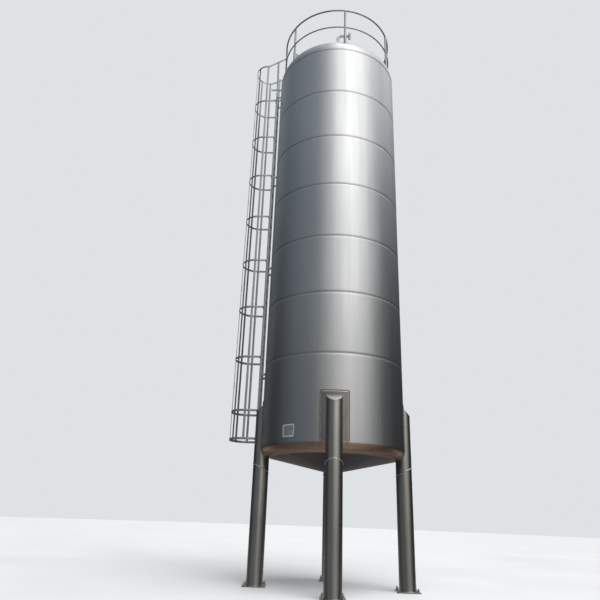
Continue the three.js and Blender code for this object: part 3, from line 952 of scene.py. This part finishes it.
for number, side in enumerate(SIDES):
    azimuth = number * 90
    base = turned(azimuth)
    out = outward(azimuth)
    Form(upper_leg, base=base).piece(f"{side}_leg_top_tube", "pipe", [f"{side}_leg_upper"], 20)
    Form(leg_cap, base=base).piece(f"{side}_leg_cap_plate", "cap", (), 20)
    Form(lower_leg, base=base).piece(f"{side}_leg_bottom_tube", "pipe", [f"{side}_leg_lower"], 20)
    pad, border = bent_plate(azimuth, PAD_HALF_DEG, PAD_BOTTOM, PAD_TOP, 0.012, SHELL_R + 0.0004, PAD_T - GAP)
    Form(pad).piece(f"{side}_leg_pad_plate", "pad", [f"{side}_leg_pad"])
    # Pad border bead, coloured bright as a painted glint
    Form(bead_tube(border, PAD_BEAD, closed=True, up=out)).piece(f"{side}_leg_pad_weld", "joint")
    # Dark band on the shell around the pad, along its weld
    halo = bent_plate(azimuth, PAD_HALF_DEG + 0.9, PAD_BOTTOM - 0.004, PAD_TOP + 0.024, 0.03, SHEET_R, 0.001)[1]
    tint = sweep(halo, rounded(0.022, 0.0016, 0.0006, 1), out, closed=True)
    Form(tint).piece(f"{side}_leg_pad_heat_tint", "tint")
    # Joint ring bead, coloured bright as a painted glint
    joint = bead_tube(leg_ring(LEG_R - 0.001, joint_height, sides=72), JOINT_BEAD, closed=True, up=(0, 1, 0.3))
    Form(joint, base=base).piece(f"{side}_leg_joint_ring", "joint")
    Form(*leg_welds(), base=base).piece(f"{side}_leg_welds", "weld")
    Form(foot, base=base).piece(f"{side}_leg_base_plate", "pipe", [f"{side}_leg_base"])
    bolts = Form(base=base)
    for x in (-FOOT_BOLT_INSET, FOOT_BOLT_INSET):
        for y in (-FOOT_BOLT_INSET, FOOT_BOLT_INSET):
            bolts.bolt(Matrix.Translation((x, y - LEG_CIRCLE_R, FOOT_T)), FOOT_BOLT, 0.03)
    bolts.piece(f"{side}_anchor_bolts", "bolt")


# Ladder beside the tank, drawn at the front, moved sideways and turned to the left

STILE_FACE_X = STILE_X + STILE_T / 2
STILE_TOP_X = HOOP_R - HOOP_T / 2 - STILE_T / 2 - GAP
STILE_CORNERS = (
    (STILE_X, LADDER_BOTTOM), (STILE_X, STILE_BEND_Z), (STILE_TOP_X, STILE_FLARE_Z), (STILE_TOP_X, STILE_TOP)
)
BRACKET_X = STILE_X - STILE_T / 2 - BRACKET_T / 2 - 0.0001


def ring_across(x, y, z, radius):
    """Ring around a line along X."""
    return [(x, y + across, z + rise) for across, rise in circle(radius, 16)]


def bracket_start(level, aside):
    """Distance from the axis plane at which a bracket enters the wall or the roof's rounded edge."""
    r = SHELL_R
    if level > ROOF_TANGENT:
        rise = level + BRACKET_W / 2 - ROOF_TANGENT
        r = KNUCKLE_CENTRE + math.sqrt(ROOF_KNUCKLE_R ** 2 - rise ** 2)
    return math.sqrt(r ** 2 - aside ** 2) - 0.006


def side_bolt(side, x, z):
    """Bolt on the outer side of a stile or of an arm of the top hoop."""
    bolts.bolt(facing((side * x, -LADDER_OUT, z), (side, 0, 0)), SMALL_BOLT)


ladder = turned(LADDER_AZIMUTH) @ Matrix.Translation((LADDER_SHIFT, 0, 0))
bars, bolts = Form(base=ladder), Form(base=ladder)
for side in (-1, 1):
    path = eased([(side * x, -LADDER_OUT, z) for x, z in STILE_CORNERS], 0.06)
    bars.add(sweep(path, rounded(STILE_T, STILE_DEPTH, 0.002), (0, -1, 0)))
    for level in BRACKET_LEVELS:
        near = bracket_start(level, LADDER_SHIFT + side * BRACKET_X)
        far = LADDER_OUT + (TOP_BRACKET_OUT if level == BRACKET_LEVELS[-1] else STILE_DEPTH / 2 - 0.005)
        size = (BRACKET_T, far - near, BRACKET_W)
        bars.add(strip(size, (side * BRACKET_X, -(far + near) / 2, level), 0.002, 1))
        for rise in (-0.014, 0.014):
            side_bolt(side, STILE_FACE_X, level + rise)
for i in range(RUNGS):
    z = TOP_RUNG - i * RUNG_PITCH
    bars.add(capped([ring_across(x, -LADDER_OUT, z, RUNG_R) for x in (-STILE_X, STILE_X)]))
    for side in (-1, 1):
        collar = ring_across(side * (STILE_X - 0.0055), -LADDER_OUT, z, RUNG_R + 0.001)
        bars.add(bead_tube(collar, RAIL_BEAD, 6, True, (1, 0, 0)))
bars.piece("ladder_bars", "rail", ["ladder"])


# Cage: hoops and upright bars of flat steel, with a bolt where they cross and plates where sections meet

HOOP_BACK = LADDER_OUT + STILE_DEPTH / 2 - 0.004
INNER_FACE = HOOP_R - HOOP_T * 1.5
SPLICE = (0.04, 0.005, 0.14)


def hoop_arc(z):
    return [Vector((x, y, z)) for x, y in arc((0, -HOOP_CENTRE_OUT), HOOP_R, -math.pi, 0, 44)]


def hoop_path(z):
    """Half circle with straight arms that turn in to the stiles."""
    arms = []
    for side in (-1, 1):
        corners = ((STILE_FACE_X, HOOP_BACK), (HOOP_R, HOOP_BACK), (HOOP_R, HOOP_CENTRE_OUT))
        arms.append(eased([(side * x, -out, z) for x, out in corners], 0.03)[:-1])
    return arms[0] + hoop_arc(z) + arms[1][::-1]


def arm_corners(side):
    """Arm of the top hoop, from its half circle up to the post beside the gate."""
    azimuth = math.radians(GATE_POSTS[0] if side > 0 else GATE_POSTS[1])
    aside = -RAIL_CIRCLE_R * math.cos(azimuth) + LADDER_SHIFT + side * HOOP_R
    end = -RAIL_CIRCLE_R * math.sin(azimuth) + math.sqrt(POST_R ** 2 - aside ** 2) - 0.001
    ways = ((HOOP_CENTRE_OUT, TOP_HOOP), (HOOP_CENTRE_OUT - 0.03, TOP_HOOP), (end, ARM_END_Z))
    return [(side * HOOP_R, -out, z) for out, z in ways]


def top_hoop_path():
    arms = [eased(arm_corners(side), 0.028)[1:] for side in (-1, 1)]
    return arms[0][::-1] + hoop_arc(TOP_HOOP) + arms[1]


def upright_weld(x, y, z, half, radius):
    """Short upright bead with its middle at a point."""
    return bead_tube([(x, y, z + rise) for rise in even(-half, half, 4)], radius, 6, up=(1, 0, 0))


def on_cage(angle, z=0):
    """Matrix that takes what is drawn at the front of a hoop's centre to an angle around it."""
    return Matrix.Translation((0, -HOOP_CENTRE_OUT, z)) @ spun(angle)


def add_hoop(z):
    for angle in CAGE_BAR_ANGLES:
        place = on_cage(angle, z)
        bolts.add(disc(0.011, 0.0035, 12, 0.002), place @ facing((0, -HOOP_R - HOOP_T / 2, 0), (0, -1, 0)))
        bolts.bolt(place @ facing((0, -INNER_FACE, 0), (0, 1, 0)), SMALL_BOLT)
    path = top_hoop_path() if z == TOP_HOOP else hoop_path(z)
    bars.add(sweep(path, rounded(HOOP_T, HOOP_W, 0.0015)))
    for side in (-1, 1):
        if z == TOP_HOOP:
            kink, end = arm_corners(side)[1:]
            share = (kink[1] + LADDER_OUT) / (kink[1] - end[1])
            side_bolt(side, HOOP_R + HOOP_T / 2, TOP_HOOP + (ARM_END_Z - TOP_HOOP) * share)
            bars.add(upright_weld(*end, 0.026, THIN_BEAD))
        else:
            bars.add(upright_weld(side * (STILE_FACE_X + 0.001), -HOOP_BACK + 0.004, z, 0.022, HOOP_BEAD))


levels = [BOTTOM_HOOP]
z = TOP_HOOP
while z > BOTTOM_HOOP:
    levels.append(z)
    z -= HOOP_PITCH
for i, (bottom, top) in enumerate(zip(CAGE_SPLITS, CAGE_SPLITS[1:]), 1):
    bars = Form(base=ladder)
    for level in levels:
        if bottom < level < top:
            add_hoop(level)
    for angle in CAGE_BAR_ANGLES:
        place = on_cage(angle)
        size = (HOOP_W, HOOP_T, top - bottom - 0.0004)
        bars.add(strip(size, (0, -(HOOP_R - HOOP_T), (top + bottom) / 2), 0.0015), place)
        if i > 1:
            bars.add(strip(SPLICE, (0, -(INNER_FACE - 0.0026), bottom), 0.001), place)
            for rise in (-0.045, 0.045):
                at = facing((0, -(INNER_FACE - SPLICE[1]), bottom + rise), (0, 1, 0))
                bolts.add(hexagon(SMALL_BOLT, 0.008), place @ at)
    bars.piece(f"cage_{i}_bars", "rail", [f"cage_section_{i}"])
bolts.piece("ladder_and_cage_bolts", "bolt")


# Guardrail

POST_SIDES = 24
SLEEVE_BOTTOM = roof_height(RAIL_CIRCLE_R + SLEEVE_R) - 0.004


def rail(z, radius):
    azimuths = even(GATE_POSTS[0] - 1, GATE_POSTS[1] + 1, 170)
    path = [RAIL_CIRCLE_R * outward(azimuth) + Vector((0, 0, z)) for azimuth in azimuths]
    return Form(sweep(path, circle(radius, 20)), base=front)


def roof_bead(radius, out, lift, sides):
    """Bead on the roof around an upright line, drawn around Z."""
    ring = [(x, y, roof_height(math.hypot(x, y - out)) + lift) for x, y in circle(radius, sides)]
    return bead_tube(ring, PIPE_BEAD, closed=True)


def gusset():
    """Upright plate on the inner side of a post, its lower edge on the roof."""
    near = RAIL_CIRCLE_R - POST_R + 0.001
    far = near - GUSSET_REACH
    outline = [(near, GUSSET_TOP), (far + 0.03, GUSSET_TOP), (far, GUSSET_TOP - 0.03)]
    outline += [(r, roof_height(r) - 0.001) for r in even(far, near, 6)]
    return capped([[(x, RAIL_CIRCLE_R - r, z) for r, z in outline] for x in (-GUSSET_T / 2, GUSSET_T / 2)])


def rail_welds():
    """Beads around the middle rail, on both sides of a post, and around the post under the top rail."""
    for side in (-1, 1):
        ring = [(side * math.sqrt(POST_R ** 2 - y ** 2), y, MID_RAIL_Z + z) for y, z in circle(MID_RAIL_R, 16)]
        yield bead_tube(ring, RAIL_BEAD, 6, True, (1, 0, 0))
    ring = []
    for x, y in circle(POST_R - 0.002, POST_SIDES):
        ring.append((x, y, TOP_RAIL_Z - math.sqrt(RAIL_R ** 2 - min(abs(y), RAIL_R * 0.98) ** 2)))
    yield bead_tube(ring, HOOP_BEAD, 6, True)


rail(TOP_RAIL_Z, RAIL_R).piece("top_rail_tube", "rail", ["top_rail"])
rail(MID_RAIL_Z, MID_RAIL_R).piece("mid_rail_tube", "rail", ["mid_rail"])
heights = (SLEEVE_BOTTOM, SLEEVE_BOTTOM + 0.05, TOP_RAIL_Z - 0.03, TOP_RAIL_Z - RAIL_R * 0.6)
tube = stack([(POST_R - 0.0002, z) for z in heights], POST_SIDES)
levels = ((SLEEVE_R, SLEEVE_BOTTOM), (SLEEVE_R, GUSSET_TOP - 0.003), (SLEEVE_R - 0.003, GUSSET_TOP))
sleeve = stack(levels, POST_SIDES)
for number, azimuth in enumerate(POST_AZIMUTHS, 1):
    collar = roof_bead(SLEEVE_R + 0.002, RAIL_CIRCLE_R, 0.002, POST_SIDES)
    base = turned(azimuth) @ Matrix.Translation((0, -RAIL_CIRCLE_R, 0))
    post = Form(tube, collar, gusset(), sleeve, *rail_welds(), base=base)
    post.piece(f"post_{number}_tube", "rail", [f"rail_post_{number}"])


# Roof nozzle with its elbow and flange pair, and the bottom outlet

PIPE_SIDES = 32
FLANGE_BOLTS = 8


def flange_pair(form, bolts, place, radius, pipe_r, thick, across):
    """Welded flange, gasket and blank flange, from z = 0 up, with their bolts."""
    half = thick / 2
    edge = 0.0015
    for low, high in ((0, half - 0.001), (half + 0.001, thick)):
        levels = ((radius - edge, low), (radius, low + edge), (radius, high - edge), (radius - edge, high))
        form.add(stack(levels, 48), place)
    form.add(disc(radius * 0.62, 0.002, 36), place @ Matrix.Translation((0, 0, half - 0.001)))
    form.add(disc(pipe_r + 0.012, 0.014, PIPE_SIDES, 0.011), place @ Matrix.Scale(-1, 4, (0, 0, 1)))
    for k in range(FLANGE_BOLTS):
        angle = 2 * math.pi * (k + 0.5) / FLANGE_BOLTS
        x, y = radius * 0.8 * math.cos(angle), radius * 0.8 * math.sin(angle)
        bolts.bolt(place @ Matrix.Translation((x, y, thick)), across)
        back = Matrix.Translation((x, y, 0)) @ Matrix.Rotation(math.pi, 4, "X")
        bolts.bolt(place @ back, across, 0.004)


base = front @ Matrix.Translation((0, -NOZZLE_OUT, 0))
foot_z = roof_height(NOZZLE_OUT)
elbow = arc((NOZZLE_BEND_R, NOZZLE_RISE - NOZZLE_BEND_R), NOZZLE_BEND_R, math.pi, math.pi / 2, 12)
path = [(0, foot_z - 0.02), (0, foot_z + 0.03), *elbow, (NOZZLE_REACH, NOZZLE_RISE)]
pipe = sweep([(x, 0, z) for x, z in path], circle(NOZZLE_PIPE_R, PIPE_SIDES), (0, 1, 0))
collar = roof_bead(NOZZLE_PIPE_R + 0.003, NOZZLE_OUT, 0.001, PIPE_SIDES)
Form(pipe, collar, base=base).piece("roof_nozzle_pipe", "satin", ["roof_nozzle"])

flanges, bolts = Form(base=front), Form(base=front)
at = facing((NOZZLE_REACH + GAP, -NOZZLE_OUT, NOZZLE_RISE), (1, 0, 0))
flange_pair(flanges, bolts, at, NOZZLE_FLANGE_R, NOZZLE_PIPE_R, NOZZLE_FLANGES_T, 0.018)
flanges.piece("roof_nozzle_flanges", "satin", ["roof_nozzle_flange"])

apex = cone[-1][1]
flange_top = OUTLET_FACE_Z + OUTLET_FLANGES_T
pipe = stack([(OUTLET_PIPE_R, flange_top - 0.001), (OUTLET_PIPE_R, apex + 0.012)], PIPE_SIDES)
collar = [(x, y, apex + 0.01) for x, y in circle(OUTLET_PIPE_R + 0.002, PIPE_SIDES)]
outlet = Form(pipe, bead_tube(collar, PIPE_BEAD, closed=True), base=front)
at = facing((0, 0, flange_top), (0, 0, -1))
flange_pair(outlet, bolts, at, OUTLET_FLANGE_R, OUTLET_PIPE_R, OUTLET_FLANGES_T, 0.02)
outlet.piece("outlet_pipe_and_flanges", "pipe", ["outlet_nozzle"])
bolts.piece("flange_bolts", "bolt")


# Bare plate with a raised rim and a rivet at each corner

RIM_W = 0.022

half = math.radians(PLATE_HALF_DEG) * SHELL_R
half_z = (PLATE_TOP - PLATE_BOTTOM) / 2
bent = bend(PLATE_AZIMUTH, SHELL_R, (PLATE_BOTTOM + PLATE_TOP) / 2)
plate = bent_plate(PLATE_AZIMUTH, PLATE_HALF_DEG, PLATE_BOTTOM, PLATE_TOP, 0.012, SHELL_R + 0.0006, 0.0025)[0]
Form(plate).piece("plate_sheet", "plate", ["label_plate"])
rim = [bent(x, 0.0031, z) for x, z in dense(rounded(2 * half - 0.02, 2 * half_z - 0.02, 0.006, 4), 0.02)]
rim = sweep(rim, rounded(RIM_W, 0.0018, 0.0008), outward(PLATE_AZIMUTH), closed=True)
Form(rim).piece("plate_frame", "trim")
rivets = Form()
for x in (RIM_W / 2 - half, half - RIM_W / 2):
    for z in (RIM_W / 2 - half_z, half_z - RIM_W / 2):
        at = facing(bent(x, 0.0035, z), outward(PLATE_AZIMUTH + math.degrees(x / SHELL_R)))
        rivets.add(disc(0.005, 0.0022, 12, 0.0012), at)
rivets.piece("plate_rivets", "bolt")


# Floor and light


def make_floor():
    mesh = bpy.data.meshes.new("floor")
    mesh.from_pydata([(x, y, 0) for x, y in circle(70, 96)], [], [tuple(range(96))])
    n = Nodes("floor_paint")
    clouds = n.noise(0.3, 3)
    colour = n.between(clouds, (0.66, 0.67, 0.675), (0.70, 0.705, 0.71))
    mesh.materials.append(n.finish(colour, n.between(clouds, 0.55, 0.65), n.bump(clouds, 0.001), 0.0))
    floor = in_scene("floor", mesh)
    floor.visible_glossy = False


def make_sun():
    """Soft light from above for the floor and the shadow under the tank."""
    data = bpy.data.lights.new("overhead", "SUN")
    data.energy = 2.6
    data.angle = math.radians(50)
    lamp = in_scene("overhead", data)
    lamp.rotation_euler = (math.radians(22), math.radians(14), 0)
    lamp.visible_glossy = False


class World(Graph):
    """Pale backdrop for the camera; in reflections a dim room with a few broad, soft screens."""

    def __init__(self):
        world = bpy.data.worlds.new("studio")
        bpy.context.scene.world = world
        super().__init__(world)
        ray = self.new("ShaderNodeTexCoord").outputs["Generated"]
        axes = self.new("ShaderNodeSeparateXYZ", Vector=ray).outputs
        self.height = axes["Z"]
        self.below = self.positive(self.times(self.height, -1))
        self.behind = self.positive(axes["Y"])
        self.level = self.vector("NORMALIZE", self.vector("MULTIPLY", ray, (1, 1, 0)).outputs[0]).outputs[0]
        self.total = None

    def vector(self, name, *values):
        return self.operation("ShaderNodeVectorMath", name, *values)

    def by_height(self, low, high, power=1.0):
        """Strength that goes from low at the horizon to high at 45 degrees up."""
        share = self.new("ShaderNodeMapRange", Value=self.height, From_Max=0.7).outputs[0]
        return self.math("ADD", low, self.times(self.math("POWER", share, power), high - low))

    def fading(self, strength, depth):
        """Strength that goes to nothing at a depth below the horizon."""
        share = self.math("SUBTRACT", 1, self.math("DIVIDE", self.below, depth))
        return self.times(strength, self.positive(share))

    def add(self, strength, colour):
        tint = self.vector("SCALE", colour)
        self.put(strength, tint.inputs["Scale"])
        tint = tint.outputs[0]
        self.total = self.vector("ADD", self.total, tint).outputs[0] if self.total else tint

    def screen(self, azimuth, narrowness, strength, colour):
        """Tall soft screen around an azimuth."""
        towards = self.vector("DOT_PRODUCT", self.level, tuple(outward(azimuth))).outputs["Value"]
        self.add(self.times(self.math("POWER", self.positive(towards), narrowness), strength), colour)

    def far_floor(self, strength, depth, colour):
        """Pale floor behind the tank: strongest a little under the horizon, gone at a depth below it."""
        share = self.times(self.below, self.positive(self.math("SUBTRACT", depth, self.below)))
        self.add(self.times(self.times(share, self.behind), 4 * strength / depth ** 2), colour)

    def ground(self, overall, behind, colour):
        """Dim ground, brighter behind the tank."""
        share = self.math("ADD", overall, self.times(self.behind, behind))
        self.add(self.times(self.math("POWER", self.below, 2), share), colour)

    def finish(self, backdrop):
        room = self.new("ShaderNodeBackground", Color=self.total).outputs[0]
        plain = self.new("ShaderNodeBackground", Color=backdrop).outputs[0]
        chooser = self.new("ShaderNodeMixShader")
        seen = self.new("ShaderNodeLightPath").outputs["Is Camera Ray"]
        for value, socket in zip((seen, room, plain), chooser.inputs):
            self.put(value, socket)
        self.new("ShaderNodeOutputWorld", Surface=chooser.outputs[0])


def make_world():
    world = World()
    world.add(world.by_height(0.01, 0.21, 2), (0.82, 0.94, 1.12))
    world.screen(29, 4.2, world.by_height(0.3, 1.8), (1.0, 0.98, 0.94))
    world.screen(-50, 4, world.by_height(0.14, 0.09), (0.90, 0.98, 1.05))
    world.screen(100, 3, world.by_height(0.01, 0.3, 5), (1.03, 0.99, 0.94))
    world.screen(135, 1.8, world.by_height(0.0, 0.62, 6), (1.0, 0.99, 0.97))
    world.screen(-135, 40, world.by_height(0.05, 0.13), (0.95, 0.98, 1.0))
    zenith = world.math("POWER", world.positive(world.height), 14)
    world.add(world.times(zenith, 0.5), (1.0, 1.0, 1.0))
    world.screen(180, 40, world.fading(world.by_height(0.5, 0.6), 0.3), (1.0, 0.99, 0.97))
    world.far_floor(0.36, 0.45, (1.0, 0.99, 0.97))
    world.ground(0.11, 0.6, (1.0, 0.96, 0.9))
    world.finish((0.74, 0.76, 0.78))


make_floor()
make_world()
make_sun()
bpy.context.scene.view_settings.view_transform = "Standard"
